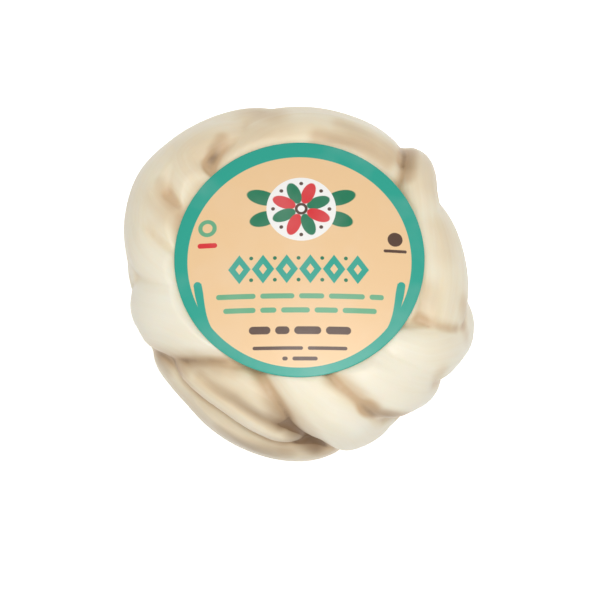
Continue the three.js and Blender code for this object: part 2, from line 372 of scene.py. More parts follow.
underStrand = {"wide": 20, "high": 17, "tan": 0.2, "path": [
    [0, 88, -12], [12, 106, -4], [26, 124, 0], [44, 142, 0], [68, 158, -1], [104, 170, -8]]}
underTurns = [-86, -37, 12, 60, 97, 145, 185, 239]  # where each strand of the underside leaves the rim
ropeEnd = {"wide": 16, "high": 15, "tan": 0.2, "path": [
    [-110, 144, -9], [-106, 158, -1], [-100, 174, 1], [76, 170, 1], [72, 156, 0], [64, 142, -8]]}

strandShape = {
    "spinePoints": 120,
    "pointsAlong": 110,  # of a strand's skin
    "pointsAround": 48,
    "blunt": 5.0,  # how full its ends stay
    "foldDepth": 0.07,  # of its half width
    "folds": 2.1,  # broad folds over half its width
    "foldLength": 60 * mm,
    "shift": 3.71,  # from one strand's folds to the next one's
    "seam": 0.02 * mm,  # doubles within this are merged
}


def makeStrandTree():  # draws a strand's skin out along its spine
    tree = GeometryTree("Strand of cheese", {
        "Half Width": "number", "Half Height": "number", "Length": "number", "Number": "number",
        "Points Along": "count", "Points Around": "count",
        "Fold Depth": "number", "Folds": "number", "Fold Length": "number",
        "Blunt": "number", "Shift": "number", "Seam": "number",
        "Tan": "number", "Material": "material",
    })
    given = tree.given
    grid = tree.add("GeometryNodeMeshGrid", None, {
        "Size X": 1.0, "Size Y": 1.0,
        "Vertices X": given("Points Along"), "Vertices Y": given("Points Around"),
    })
    where = tree.add("GeometryNodeInputPosition")
    grid = tree.store(grid, "gridAt", where)
    gridX, gridY, _ = tree.split(tree.named("gridAt"))
    along = gridX + 0.5
    angle = gridY * (-2 * math.pi)
    spine = tree.add("GeometryNodeMeshToCurve", None, {"Mesh": given("Geometry")})
    sample = tree.node("GeometryNodeSampleCurve", {"mode": "FACTOR", "data_type": "FLOAT_VECTOR"},
                       {"Curves": spine, "Value": tree.named("outward"), "Factor": along})
    middle = Wire(tree, sample.outputs["Position"])
    tangent = tree.vector("NORMALIZE", Wire(tree, sample.outputs["Tangent"]))
    outward = Wire(tree, sample.outputs["Value"])
    side = tree.vector("NORMALIZE", tree.vector("CROSS_PRODUCT", outward, tangent))
    up = tree.vector("CROSS_PRODUCT", tangent, side)
    fullness = (1.0 - ((along * 2.0 - 1.0).abs() ** given("Blunt"))).most(0.0).sqrt()
    x, z = angle.maths("COSINE"), angle.maths("SINE")
    folds = given("Folds")
    travelled = along * given("Length")
    shift = given("Number") * given("Shift")
    foldAt = tree.combine(x * folds, z * folds, travelled / given("Fold Length") + shift)
    relief = (tree.noise(foldAt, 1.0, detail=1.0) - 0.5) * 2.0 * given("Fold Depth") + 1.0
    reach = fullness * relief
    sideways = tree.scaled(side, x * given("Half Width") * reach)
    upwards = tree.scaled(up, z * given("Half Height") * reach)
    skin = tree.vector("ADD", middle, tree.vector("ADD", sideways, upwards))
    stringAt = tree.combine(x * given("Half Width"), z * given("Half Height"), travelled + shift)
    marked = tree.store(grid, "stringAt", stringAt)
    # the strand's tan, partly ageing and partly painted shade
    marked = tree.store(marked, "aged", given("Tan"), "FLOAT")
    marked = tree.store(marked, "rise", z, "FLOAT")
    placed = tree.moved(marked, skin)
    closed = tree.add("GeometryNodeMergeByDistance", None, {"Geometry": placed, "Distance": given("Seam")})
    tree.finish(closed)
    return tree


def strandSpine(strand, number):  # a strand's middle line, which knows the way out at each point
    path = np.array(strand["path"], float)
    points = ballPoint(path[:, 0], path[:, 1], (path[:, 2] - strand["high"]) * mm)
    line, length = smoothPath(points, strandShape["spinePoints"])
    spine = newObject(f"spine{number}", line + centre, [(i, i + 1) for i in range(len(line) - 1)])
    outward = spine.data.attributes.new("outward", "FLOAT_VECTOR", "POINT")
    outward.data.foreach_set("vector", outwardAt(line).ravel())
    return spine, length


def makeWinding(material):
    tree = makeStrandTree()
    strands = list(topStrands)
    for turn in underTurns:
        path = [[point[0] + turn, point[1], point[2]] for point in underStrand["path"]]
        strands.append({**underStrand, "path": path})
    strands.append(ropeEnd)
    parts = []
    for number, strand in enumerate(strands):
        spine, length = strandSpine(strand, number)
        tree.applyTo(spine, {
            "Half Width": strand["wide"] * mm, "Half Height": strand["high"] * mm,
            "Length": length, "Number": float(number + 1), "Tan": strand["tan"], "Material": material,
        }, strandShape)
        parts.append(plainMesh(spine, f"strand{number}"))
        remove([spine])
    print("strands laid:", len(parts))
    return parts


inside = {
    "step": 5,  # degrees
    "depth": 9 * mm,  # the core below the bare ball
    "crownShares": (0.88, 0.66, 0.44, 0.22),  # of the label's radius, for the crown's rings
    "crownDepth": 0.2 * mm,  # the crown below the pressed skin
    "crownFoot": 0.8,  # of the label's radius, at the ball's middle height
}


def makeInside(material):  # the ball below the strands, and the smooth crown that carries the label
    step = inside["step"]
    turns, tilts = np.meshgrid(np.arange(0, 360, step), np.arange(step, 180, step))
    skin = ballPoint(turns.ravel(), tilts.ravel(), np.full(turns.size, -inside["depth"]))
    core = closedRings(skin.reshape(*turns.shape, 3) + centre, "core")
    distance = np.array([labelRadius * share for share in inside["crownShares"]])
    heights = [labelUnderside(d) - labelShape["gap"] - inside["crownDepth"] for d in distance]
    profile = [(labelRadius * inside["crownFoot"], centre[2]), *zip(distance, heights)]
    angles = np.radians(np.arange(0, 360, step))
    rings = [np.stack([d * np.cos(angles) + centre[0], d * np.sin(angles) + centre[1],
                       np.full(angles.size, h)], -1) for d, h in profile[::-1]]
    carrier = closedRings(np.array(rings), "carrier")
    for thing in (core, carrier):
        thing.data.materials.append(material)
    return [core, carrier]


def closedRings(rings, name):  # a closed skin over rings of points from the top down, a fan at each end
    count, around = rings.shape[:2]
    points = np.vstack([rings.reshape(-1, 3), rings[0].mean(0)[None], rings[-1].mean(0)[None]])
    faces = []
    for i in range(count - 1):
        for j in range(around):
            k = (j + 1) % around
            faces.append((i * around + j, (i + 1) * around + j, (i + 1) * around + k, i * around + k))
    top, bottom = count * around, count * around + 1
    last = (count - 1) * around
    faces += [(top, j, (j + 1) % around) for j in range(around)]
    faces += [(bottom, last + (j + 1) % around, last + j) for j in range(around)]
    return newObject(name, points, (), faces)


def labelUnderside(distance):  # its height at a distance from the label's middle
    return crown - labelShape["sag"] * (distance / labelRadius) ** 2


skinShape = {  # a reach or another whole number is a count of rounds of blurring
    "voxel": 1.2 * mm,
    "smoothing": 3,
    "deepen": 1.4,  # times a groove's depth, over the wide reach
    "deepenReach": 30,
    "crisp": 0.4,  # and over the near one
    "crispReach": 8,
    "settling": 3,
    "filling": 14,
    "fillBetween": (0.5, 1.5),  # millimetres deep, where filling starts and where it is full
    "fading": 6,
    "stringDepth": 0.24 * mm,
    "stringWidth": 3.4 * mm,
    "stringLength": 60 * mm,
    "stringBias": 0.6,  # above 0.5 they cut in more than they stand out
    "stringsBetween": (0.8, 0.1),  # millimetres deep, where strings end and where they are full
    "pressSlope": 0.35,  # how steeply the pressed skin rises outside the label
    "pressRim": 0.5 * mm,  # how far past the label it starts
    "pressSoftness": 1.5 * mm,
    "hollowReach": 22,  # what counts as a crease for the painted crease shade
    "basinReach": 110,  # and as a wide hollow
}


def makeSkinTree():  # finishes the skin that the strands are joined into
    tree = GeometryTree("Skin of the ball", {
        "Strands": "object", "Axis": "vector", "Label Radius": "number", "Sag": "number", "Gap": "number",
        "Press Slope": "number", "Press Rim": "number", "Press Softness": "number", "Floor": "number",
        "Smoothing": "count", "Settling": "count", "Filling": "count", "Fading": "count",
        "Deepen": "number", "Deepen Reach": "count", "Crisp": "number", "Crisp Reach": "count",
        "String Depth": "number", "String Width": "number", "String Length": "number",
        "String Bias": "number", "Hollow Reach": "count", "Basin Reach": "count", "Material": "material",
    })
    given = tree.given
    where = tree.add("GeometryNodeInputPosition")
    normal = tree.add("GeometryNodeInputNormal")

    def depthWithin(reach):  # how far each place lies in below its surroundings
        inset = tree.vector("SUBTRACT", tree.blur(where, given(reach)), where)
        return tree.vector("DOT_PRODUCT", inset, normal, output="Value")

    def pushed(geometry, offset):
        return tree.moved(geometry, tree.vector("ADD", where, offset))

    skin = tree.moved(given("Geometry"), tree.blur(where, given("Smoothing")))
    source = tree.add("GeometryNodeObjectInfo", {"transform_space": "ORIGINAL"},
                      {"Object": given("Strands")}, output="Geometry")
    for name, kind in (("stringAt", "FLOAT_VECTOR"), ("aged", "FLOAT"), ("rise", "FLOAT")):
        found = tree.add("GeometryNodeSampleNearestSurface", {"data_type": kind},
                         {"Mesh": source, "Value": tree.named(name, kind), "Sample Position": where})
        skin = tree.store(skin, name, found, kind)
    # the grooves between strands are made deeper, then sharper
    for amount, reach in (("Deepen", "Deepen Reach"), ("Crisp", "Crisp Reach")):
        depth = depthWithin(reach).most(0.0)
        skin = pushed(skin, tree.scaled(normal, depth * given(amount) * -1.0))
    skin = tree.moved(skin, tree.blur(where, given("Settling")))
    # the bottoms of the deepest grooves are rounded out
    deepest = (depthWithin("Deepen Reach") / mm).ramp(*skinShape["fillBetween"])
    filled = tree.vector("SUBTRACT", tree.blur(where, given("Filling")), where)
    skin = pushed(skin, tree.scaled(filled, tree.blur(deepest, given("Settling"), "FLOAT")))
    for name in ("aged", "rise"):
        faded = tree.blur(tree.named(name, "FLOAT"), given("Fading"), "FLOAT")
        skin = tree.store(skin, name, faded, "FLOAT")
    # strings, as long low ridges that follow each strand and end in the grooves
    stringX, stringY, stringZ = tree.split(tree.named("stringAt"))
    width = given("String Width")
    strings = tree.noise(tree.combine(stringX / width, stringY / width, stringZ / given("String Length")),
                         1.0, detail=1.5)
    clear = (depthWithin("Crisp Reach") / mm).ramp(*skinShape["stringsBetween"])
    height = (strings - given("String Bias")) * 2.0 * given("String Depth") * clear
    skin = pushed(skin, tree.scaled(normal, height))
    # pressed flat under the label and on the floor
    x, y, z = tree.split(where)
    axisX, axisY, axisZ = tree.split(given("Axis"))
    distance = ((x - axisX) * (x - axisX) + (y - axisY) * (y - axisY)).sqrt()
    radius = given("Label Radius")
    share = distance / radius
    under = axisZ - given("Sag") * share * share - given("Gap")
    edge = axisZ - given("Sag") - given("Gap") + (distance - radius) * given("Press Slope")
    covered = distance.maths("LESS_THAN", radius + given("Press Rim"))
    press = under * covered + edge * (1.0 - covered)
    height = z.maths("SMOOTH_MIN", press, given("Press Softness")).most(given("Floor"))
    skin = tree.moved(skin, tree.combine(x, y, height))
    # how far each place lies in below its surroundings, close by and farther off
    for name, reach in (("hollow", "Hollow Reach"), ("basin", "Basin Reach")):
        skin = tree.store(skin, name, depthWithin(reach) / mm, "FLOAT")
    tree.finish(skin)
    return tree


def makeCheese(material):
    parts = makeWinding(material)
    strands = joined([plainMesh(part, "copy") for part in parts], "strands")
    cheese = joined(parts + makeInside(material), "ball")
    remesh = cheese.modifiers.new("one skin", "REMESH")
    remesh.mode = "VOXEL"
    remesh.voxel_size = skinShape["voxel"]
    remesh.use_smooth_shade = True
    makeSkinTree().applyTo(cheese, {
        "Strands": strands, "Axis": (centre[0], centre[1], crown), "Label Radius": labelRadius,
        "Sag": labelShape["sag"], "Gap": labelShape["gap"], "Floor": cadLow.z, "Material": material,
    }, skinShape)
    piece = plainMesh(cheese, "cheese_rope_ball")
    remove([cheese, strands])
    for face in piece.data.polygons:
        face.use_smooth = True
    paintShadeAndStains(piece)
    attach(piece, "root")
    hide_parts("cheese")
    print("cheese:", len(piece.data.vertices), "vertices")


def joined(things, name):  # several objects as one
    for thing in bpy.context.selected_objects:
        thing.select_set(False)
    for thing in things:
        thing.select_set(True)
    bpy.context.view_layer.objects.active = things[0]
    bpy.ops.object.join()
    whole = bpy.context.view_layer.objects.active
    whole.name = name
    return whole


def newMaterial(name):
    material = bpy.data.materials.new(name)
    material.use_nodes = True
    material.node_tree.nodes.clear()
    return material, Tree(material.node_tree)


def srgb(red, green, blue):  # 0 to 255
    shares = [value / 255 for value in (red, green, blue)]
    linear = [s / 12.92 if s <= 0.04 else ((s + 0.055) / 1.055) ** 2.4 for s in shares]
    return (*linear, 1.0)


def close(tree, shader):
    output = tree.node("ShaderNodeOutputMaterial")
    tree.links.new(shader.socket, output.inputs["Surface"])


curdLook = {
    "white": srgb(247, 241, 223),
    "cream": srgb(240, 226, 195),
    "tan": srgb(214, 184, 146),
    "brown": srgb(117, 87, 55),
    "mostBrown": 0.9,
    "roughness": 0.46,
    "threadWidth": 2.6 * mm,  # threads in the curd, along each strand
    "threadLength": 50 * mm,
    "hairWidth": 0.7 * mm,  # and finer ones
    "hairLength": 16 * mm,
    "threadsBetween": (1.6, 0.5),  # millimetres deep, where threads end and where they are full
    "patches": 22.0,  # per metre
    "pores": 900.0,
    "bumpStrength": 0.3,
    "bumpDepth": 0.25 * mm,
    "lightReach": 2.5 * mm,  # how far light goes in
}
# Painted shade on the curd, with some browning: a line of [turn, tilt, lift, dark] points on the bare ball,
# placed as a strand's are, with how dark it is at each, mostly in creases and on sides turned from the
# light. reach is how far it spreads in millimetres, and tan how much it tans. A negative value lightens,
# which makes painted highlights and takes back painted crease shade.
shadeAndStains = [
    {"reach": 9, "tan": 0.5, "line": [  # crease left of the broad near strand
        [-106.5, 44.7, -2.8, -0.2], [-102.7, 50.3, -1.1, 0.2], [-99.3, 56.7, -0.6, 0.8],
        [-96.6, 63.7, -1.1, 1.3], [-94.1, 72.4, -3.3, 2.1], [-91.2, 81, -3.3, 2.2], [-88.2, 90, -3.5, 2.2],
        [-84.6, 90.7, -0.8, 1.7]]},
    {"reach": 10, "tan": 0.45, "line": [  # that strand's side towards it, painted shade
        [-101.8, 44.1, -1.2, 0], [-97.4, 50.9, -0.5, 0.1], [-93.6, 58.8, -0.4, 0.3],
        [-90.2, 67.2, -0.5, 0.5], [-87, 76.6, -0.4, 0.7], [-84.5, 85.7, -0.6, 0.6], [-82, 94, -1.5, 0.4],
        [-79, 102, -2.5, 0]]},
    {"reach": 12, "tan": -0.4, "line": [  # and its other side, a painted highlight
        [-78.4, 50.2, 2.4, -0.3], [-74.1, 60.6, 3, -0.3], [-70.7, 72.9, 3, -0.2]]},
    {"reach": 10, "tan": 0.7, "line": [  # crease to its right
        [-75.2, 41.8, -0.6, -0.1], [-71.8, 47.4, 0.4, 0.1], [-68.6, 53.5, 0.7, 0.2],
        [-66.2, 62.1, 0, 0.2]]},
    {"reach": 8, "tan": 0.35, "line": [
        [-71.4, 39.3, 0.4, 0.1], [-68.3, 45.3, 2, 0.1], [-65.6, 51.9, 2.8, 0.1], [-63.2, 58.9, 3, 0.1]]},
    {"reach": 8, "tan": 0.7, "line": [
        [-66.2, 62.1, 0, 0.3], [-63.4, 69.7, 0.1, 0.8], [-60.5, 74.4, 1, 1], [-57.3, 80.4, 1, 0.7],
        [-54, 88, -0.5, 0.4], [-50, 95, -2, 0.1]]},
    {"reach": 8, "tan": 0.5, "line": [
        [-65.3, 62, 1.6, 0.3], [-62.5, 69, 1.8, 0.5], [-59.8, 75, 2, 0.6], [-57, 81, 2, 0.5],
        [-53, 90, 1, 0.2]]},
    {"reach": 9, "tan": 0.4, "line": [[-37.3, 74.7, 3, 0.1], [-40, 79, 1, 0.3], [-38.5, 88, -1, 0.1]]},
    {"reach": 11, "tan": 0.6, "line": [  # lower edge of the left strand
        [-154.6, 90.7, -3, 0.2], [-147.2, 75.9, -2.7, 0.4], [-141.2, 67.4, -2.7, 0.7],
        [-135.6, 56.6, -1.2, 0.8], [-130.4, 49.8, -0.8, 0.6], [-125.3, 45.3, -1.7, 0.4],
        [-121.2, 43.4, -2.5, -0.2]]},
    {"reach": 4.5, "tan": 0.1, "line": [
        [-147.2, 75.9, -2.7, 0.1], [-141.2, 67.4, -2.7, 0.4], [-135.6, 56.6, -1.2, 0.7],
        [-130.4, 49.8, -0.8, 0.7], [-125.3, 45.3, -1.7, 0.2]]},
    {"reach": 6.5, "tan": 0.45, "line": [  # creases of the bundle of three
        [-129.9, 64, 0, 0.3], [-123.9, 62.9, 0.5, 0.5], [-118.7, 62.4, 0.8, 0.8], [-114.7, 62.3, 0.9, 1],
        [-109.6, 65, 0.7, 1.2], [-105.6, 67.5, 0.2, 1.4], [-101.4, 69.8, -0.4, 1.4],
        [-97.5, 73.8, -1.2, 1.3]]},
    {"reach": 5, "tan": 0.1, "line": [
        [-133.4, 77.6, -0.4, -0.8], [-127.4, 87.1, -0.5, -0.8], [-118.2, 89.3, 1.2, -0.8],
        [-109.1, 90.4, 2.7, -0.6], [-100.4, 90.8, 2.6, 0], [-92.5, 90.2, 0, 0.4]]},
    {"reach": 8, "tan": 0.2, "line": [
        [-94.7, 91.5, 2.8, 0.3], [-89.8, 91.6, 2, 0.5], [-85.5, 93.5, 1.5, 0.6], [-80, 96, 0, 0.3]]},
    {"reach": 9, "tan": 0.3, "line": [[-148.3, 87.4, -1.3, 0.9], [-144.8, 86, -1.3, 0.8]]},
    {"reach": 5, "tan": 1, "line": [[-143, 76, -3.5, 0.5], [-138.5, 77, -1.7, 0.4]]},
    {"reach": 24, "tan": 0.2, "line": [  # its outer, middle and inner strands
        [-138, 93, 4, 0.4], [-115, 98, 5, 0.9], [-99, 103, 6, 0.9], [-88, 105, 5, 0.4]]},
    {"reach": 8, "tan": 0, "line": [
        [-129.4, 69.9, 1.2, -0.5], [-122.2, 72.8, 1.8, -0.7], [-114.8, 72.2, 2.3, -0.8],
        [-107.7, 73.3, 2.3, -0.6], [-100.4, 78.3, 2.1, 0]]},
    {"reach": 9, "tan": 0.3, "line": [
        [-116.9, 91.3, 3.5, 0.3], [-110.6, 92.5, 4.5, 0.8], [-104.9, 93.3, 5, 1], [-99.5, 93.1, 4.8, 0.9],
        [-94.4, 92.5, 4.2, 0.5]]},
    {"reach": 9, "tan": 0.5, "line": [  # lower side of the middle one
        [-137.5, 74, -1.5, 0], [-131.5, 78, 0, 0], [-122.9, 80, 0.8, 0], [-114.9, 80.5, 1.4, 0.1],
        [-107.5, 84, 1.8, 0.3], [-100.9, 87, 1.8, 0.5], [-94.8, 87, 1, 0.5]]},
    {"reach": 18, "tan": 0.3, "line": [[-122, 56, 2, 0], [-104, 62, 2, 0.1], [-98, 68, 1, 0.1]]},
    {"reach": 8, "tan": 0.7, "line": [  # hollow side of the knob
        [48.8, 68.4, 3.1, 0.6], [46.2, 59.9, 2.3, 1.3], [43.2, 54.3, 2.1, 1.3], [40.8, 50.4, 1.2, 0.5]]},
    {"reach": 22, "tan": 0.4, "line": [[47, 66, 7, 0.2], [34, 60, 6, 0]]},
    {"reach": 6, "tan": 0.6, "line": [  # far left
        [121.1, 41.3, 2.2, 0.1], [123.3, 39.4, 1.4, 0.4], [126.2, 38.2, 0.1, 0.9], [128.4, 36.9, -1.5, 1],
        [131.1, 35.3, -3.7, 0.4], [133.6, 33.6, -3.3, 0.1]]},
    {"reach": 26, "tan": 0.4, "line": [[133, 41, 2, 0]]},
    {"reach": 5, "tan": 0.2, "line": [
        [148.8, 48.6, 4.7, 0.3], [152.2, 44.4, 2.7, 0.1], [155.9, 39.7, 2.1, 0], [159.1, 35.2, 1, 0]]},
    {"reach": 14, "tan": 0.4, "line": [
        [154.5, 45.9, 3.7, 0], [157.4, 42, 3.4, 0.1], [160.6, 38.2, 3.2, 0.1]]},
    {"reach": 12, "tan": 0.3, "line": [
        [152.1, 40.4, 0.6, -0.1], [155.7, 35.9, 0.3, -0.1], [159.8, 33.1, -0.9, -0.1],
        [165.5, 31.7, -1.1, -0.2]]},
    {"reach": 30, "tan": -0.5, "line": [[-174.5, 45.9, 3.1, -0.3], [-165.5, 44.1, 3.5, -0.1]]},
    {"reach": 10, "tan": -0.1, "line": [[184.5, 59.5, 1, -0.4]]},
    {"reach": 16, "tan": 0.3, "line": [  # far side
        [124.2, 32.5, -0.8, 0], [119.7, 35.2, -0.2, 0.1], [112.7, 35.9, 0.8, 0.1], [105.8, 36, 1.1, 0.1],
        [98.2, 36.7, 1.2, 0]]},
    {"reach": 13, "tan": 0.4, "line": [
        [107.4, 58.5, -0.6, 0.1], [103.8, 55, -0.3, 0.4], [99, 50.6, 0.6, 0.2]]},
    {"reach": 30, "tan": 0.2, "line": [[106, 48, 1, 0]]},
    {"reach": 8, "tan": 0.8, "line": [  # far side beside the knob
        [81.9, 36.6, 1, 0.1], [76.5, 37.4, 1.2, 0.5], [71.4, 38.9, 1.6, 0.5], [66.2, 40.6, 2, 0.4],
        [60.6, 42.3, 2.2, 0.2], [54.6, 43.8, 1.9, 0.1], [50.5, 45.9, 1, 0]]},
    {"reach": 8, "tan": 0.5, "line": [
        [74.4, 48.2, 3.3, 0.1], [69.4, 48.5, 3.8, 0.3], [64.5, 49.5, 4, 0.2], [59, 50.7, 3.6, 0],
        [53, 53.9, 2.7, -0.2], [49.1, 56.2, 1.3, -0.6]]},
    {"reach": 8, "tan": 0, "line": [[85.2, 46, 2.4, -0.3], [78.4, 47.9, 3, -0.3]]},
    {"reach": 5, "tan": 0.4, "line": [  # right
        [-26.7, 42.9, -2.9, -0.8], [-26, 48.2, -0.5, -0.4], [-25.1, 54.3, 1, 0.1], [-23.6, 62.4, 1.4, 0.2],
        [-22, 69.2, 1.7, 0.4]]},
    {"reach": 10, "tan": 0.6, "line": [
        [-13.1, 70.5, 3.4, 0.1], [-15, 75, 2.6, 0.2], [-18, 79.5, 1.4, 0.2], [-21, 84, 0, 0.2],
        [-24, 91, -2, 0]]},
    {"reach": 14, "tan": 0.35, "line": [[14, 53, 4, 0], [4, 52, 4, 0]]},
    {"reach": 11, "tan": 0.4, "line": [[-14.4, 42, 0.4, 0], [-18.5, 43, 0.3, 0.1], [-23.1, 45, -0.2, 0]]},
]


def paintShadeAndStains(piece):  # writes how tan and how dark each point of the skin is painted, mostly as painted shade, with some browning
    stepsPerPoint = 10  # along each line
    count = len(piece.data.vertices)
    points = np.empty(count * 3)
    piece.data.vertices.foreach_get("co", points)
    points = points.reshape(-1, 3) - centre
    tanningAndShade, darkening = np.zeros(count), np.zeros(count)
    for mark in shadeAndStains:
        ends = np.array(mark["line"], float)
        steps = np.linspace(0, len(ends) - 1, stepsPerPoint * len(ends))
        line = np.stack([np.interp(steps, range(len(ends)), column) for column in ends.T], -1)
        nearest, dark = np.full(count, np.inf), np.zeros(count)
        for place, darkness in zip(ballPoint(*line.T[:2], line[:, 2] * mm), line[:, 3]):
            distance = np.linalg.norm(points - place, axis=1)
            dark = np.where(distance < nearest, darkness, dark)
            nearest = np.minimum(distance, nearest)
        strength = np.clip(1 - (nearest / (mark["reach"] * mm)) ** 2, 0, 1) ** 2
        tanningAndShade += mark["tan"] * strength
        darkening += dark * strength
    for name, values in (("tanningAndShade", tanningAndShade), ("darkening", darkening)):
        piece.data.attributes.new(name, "FLOAT", "POINT").data.foreach_set("value", values)


def makeCurd():
    look = curdLook
    material, tree = newMaterial("pulled curd")
    attribute = tree.node("ShaderNodeAttribute", {"attribute_name": "stringAt"})
    x, y, z = tree.split(Wire(tree, attribute.outputs["Vector"]))
    hollow, basin, aged, rise, tanningAndShade, darkening = (
        tree.add("ShaderNodeAttribute", {"attribute_name": name}, output="Fac")
        for name in ("hollow", "basin", "aged", "rise", "tanningAndShade", "darkening"))
    place = tree.add("ShaderNodeTexCoord", output="Object")

    def strings(width, length):
        return tree.noise(tree.combine(x / width, y / width, z / length), 1.0)

    threads = strings(look["threadWidth"], look["threadLength"])
    hairs = strings(look["hairWidth"], look["hairLength"])
    patches = tree.noise(place, look["patches"])
    # painted form shade on the flanks of each strand, and painted shade by how deep a place lies in a wide
    # hollow and in a crease
    flank = 1.0 - rise.most(0.0)
    soft = (basin + 0.5).most(0.0)
    crease = hollow.most(0.0)
    clear = crease.ramp(*look["threadsBetween"])
    streaks = (threads - 0.5) * 0.35 * clear + (patches - 0.5) * 0.6
    # white on the crowns of the strands, cream on their flanks, tan in the hollows, brown in the creases:
    # painted form shade on the flanks and painted shade in the hollows and creases
    cream = streaks + aged * 0.6 + flank * 0.4 + soft * 0.3 + tanningAndShade * 0.5 + 0.35
    colour = tree.blend(cream.ramp(0.0, 1.0), look["white"], look["cream"])
    # painted shade in the hollows, creases and on the flanks, with the strands' tan and the marks' tan
    tanAndPaintedShade = soft * 0.22 + crease * 0.12 + aged * 0.35 + flank * 0.1
    tanAndPaintedShade = tanAndPaintedShade + tanningAndShade * (soft * 0.2 + 0.8) + streaks * 0.5
    colour = tree.blend(tanAndPaintedShade.ramp(0.0, 1.2), colour, look["tan"])
    # painted shade: brown deepens in the creases and hollows and under the darkening marks
    shaded = (soft * 0.09 + crease * 0.1) * (darkening * 2.5 + 1.0) + streaks * 0.15
    brown = shaded.ramp(0.25, 1.2) * 0.7 + darkening * 0.3
    colour = tree.blend(brown.most(0.0).least(look["mostBrown"]), colour, look["brown"])
    roughness = look["roughness"] + (patches - 0.5) * 0.15 + (hairs - 0.5) * 0.1
    height = (threads * 0.7 + hairs * 0.3) * clear + tree.noise(place, look["pores"]) * 0.12
    bump = tree.add("ShaderNodeBump", None, {
        "Strength": look["bumpStrength"], "Distance": look["bumpDepth"], "Height": height,
    })
    shader = tree.add("ShaderNodeBsdfPrincipled", None, {
        "Base Color": colour, "Roughness": roughness, "Normal": bump, "IOR": 1.42,
        "Subsurface Weight": 0.3, "Subsurface Radius": (1.0, 0.75, 0.5),
        "Subsurface Scale": look["lightReach"], "Coat Weight": 0.12, "Coat Roughness": 0.3,
    })
    close(tree, shader)
    return material


labelPrint = {  # in seventieths of the label's radius, from its middle, with y up
    "teal": srgb(26, 166, 145),
    "sage": srgb(104, 176, 134),
    "peach": srgb(244, 205, 155),
    "green": srgb(4, 122, 84),
    "red": srgb(222, 40, 48),
    "white": srgb(250, 248, 244),
    "brown": srgb(84, 56, 40),
    "soft": 0.16,  # half the width of an ink's edge
    "rimInside": 62.6,  # its circle lies a little below the middle
    "rimDrop": 2.3,
    "crescentFrom": 16.0,  # degrees below level, where the two crescents begin
    "crescentRun": 30.0,  # degrees till they lie on the rim
    "crescentInside": (57.0, 7.8),  # radius at the beginning, and how much more at the end
    "crescentOutside": (61.4, 0.2),  # radius at the beginning, and how much more each degree
    "crescentTip": (56.9, -16.9, 2.15),  # its round end: x, y and radius
    "rosette": (1.0, 27.6),  # its middle
    "plate": 19.5,  # radius of the white round behind it
    "petals": (3.5, 17.2, 7.2),  # where they begin and end, and how wide they are
    "leaves": [(18, 32), (-16, 30)],  # degrees up from level, and how far each reaches
    "leafStart": 14,
    "leafWidth": 9,
    "beads": (15.8, 1.1),  # how far out, and how large
    "eye": (3.6, 2.0),  # radii of its ring
    "lozenges": 6,
    "lozengeStart": (-33.5, -8.6),  # the middle of the first
    "lozengeStep": 13.2,
    "lozengeSizes": [("teal", 12.6, 17), ("peach", 4.4, 6)],  # ink, width and height
    "dots": (6.4, 1.1),  # how far above and below the row, and how large
    "rowMiddle": 0.3,  # the bars' rows are centred on this x
    "barGap": 2.6,
    "rows": [  # of bars: height of the row, height of a bar, ink, widths
        (-24.4, 3.0, "sage", (22, 19, 14, 20, 8)),
        (-32.5, 3.0, "sage", (18, 9, 16, 13, 19)),
        (-44.0, 4.4, "brown", (12, 8, 15, 14)),
        (-54.0, 2.0, "brown", (28, 22)),
        (-59.8, 2.2, "brown", (3, 14)),
    ],
    "sealDiscs": [  # ink, x, y and radius
        ("sage", -51.5, 16.9, 5.2),
        ("peach", -51.5, 16.9, 2.8),
        ("brown", 53.5, 10.2, 4.2),
    ],
    "sealBars": [  # ink, x, y, width and height
        ("red", -51.5, 6.4, 11, 3.0),
        ("brown", 53.5, 3.2, 13, 1.8),
    ],
    "grain": 700.0,  # per metre, as is the wear
    "wear": 40.0,
    "bumpDepth": 0.1 * mm,
}


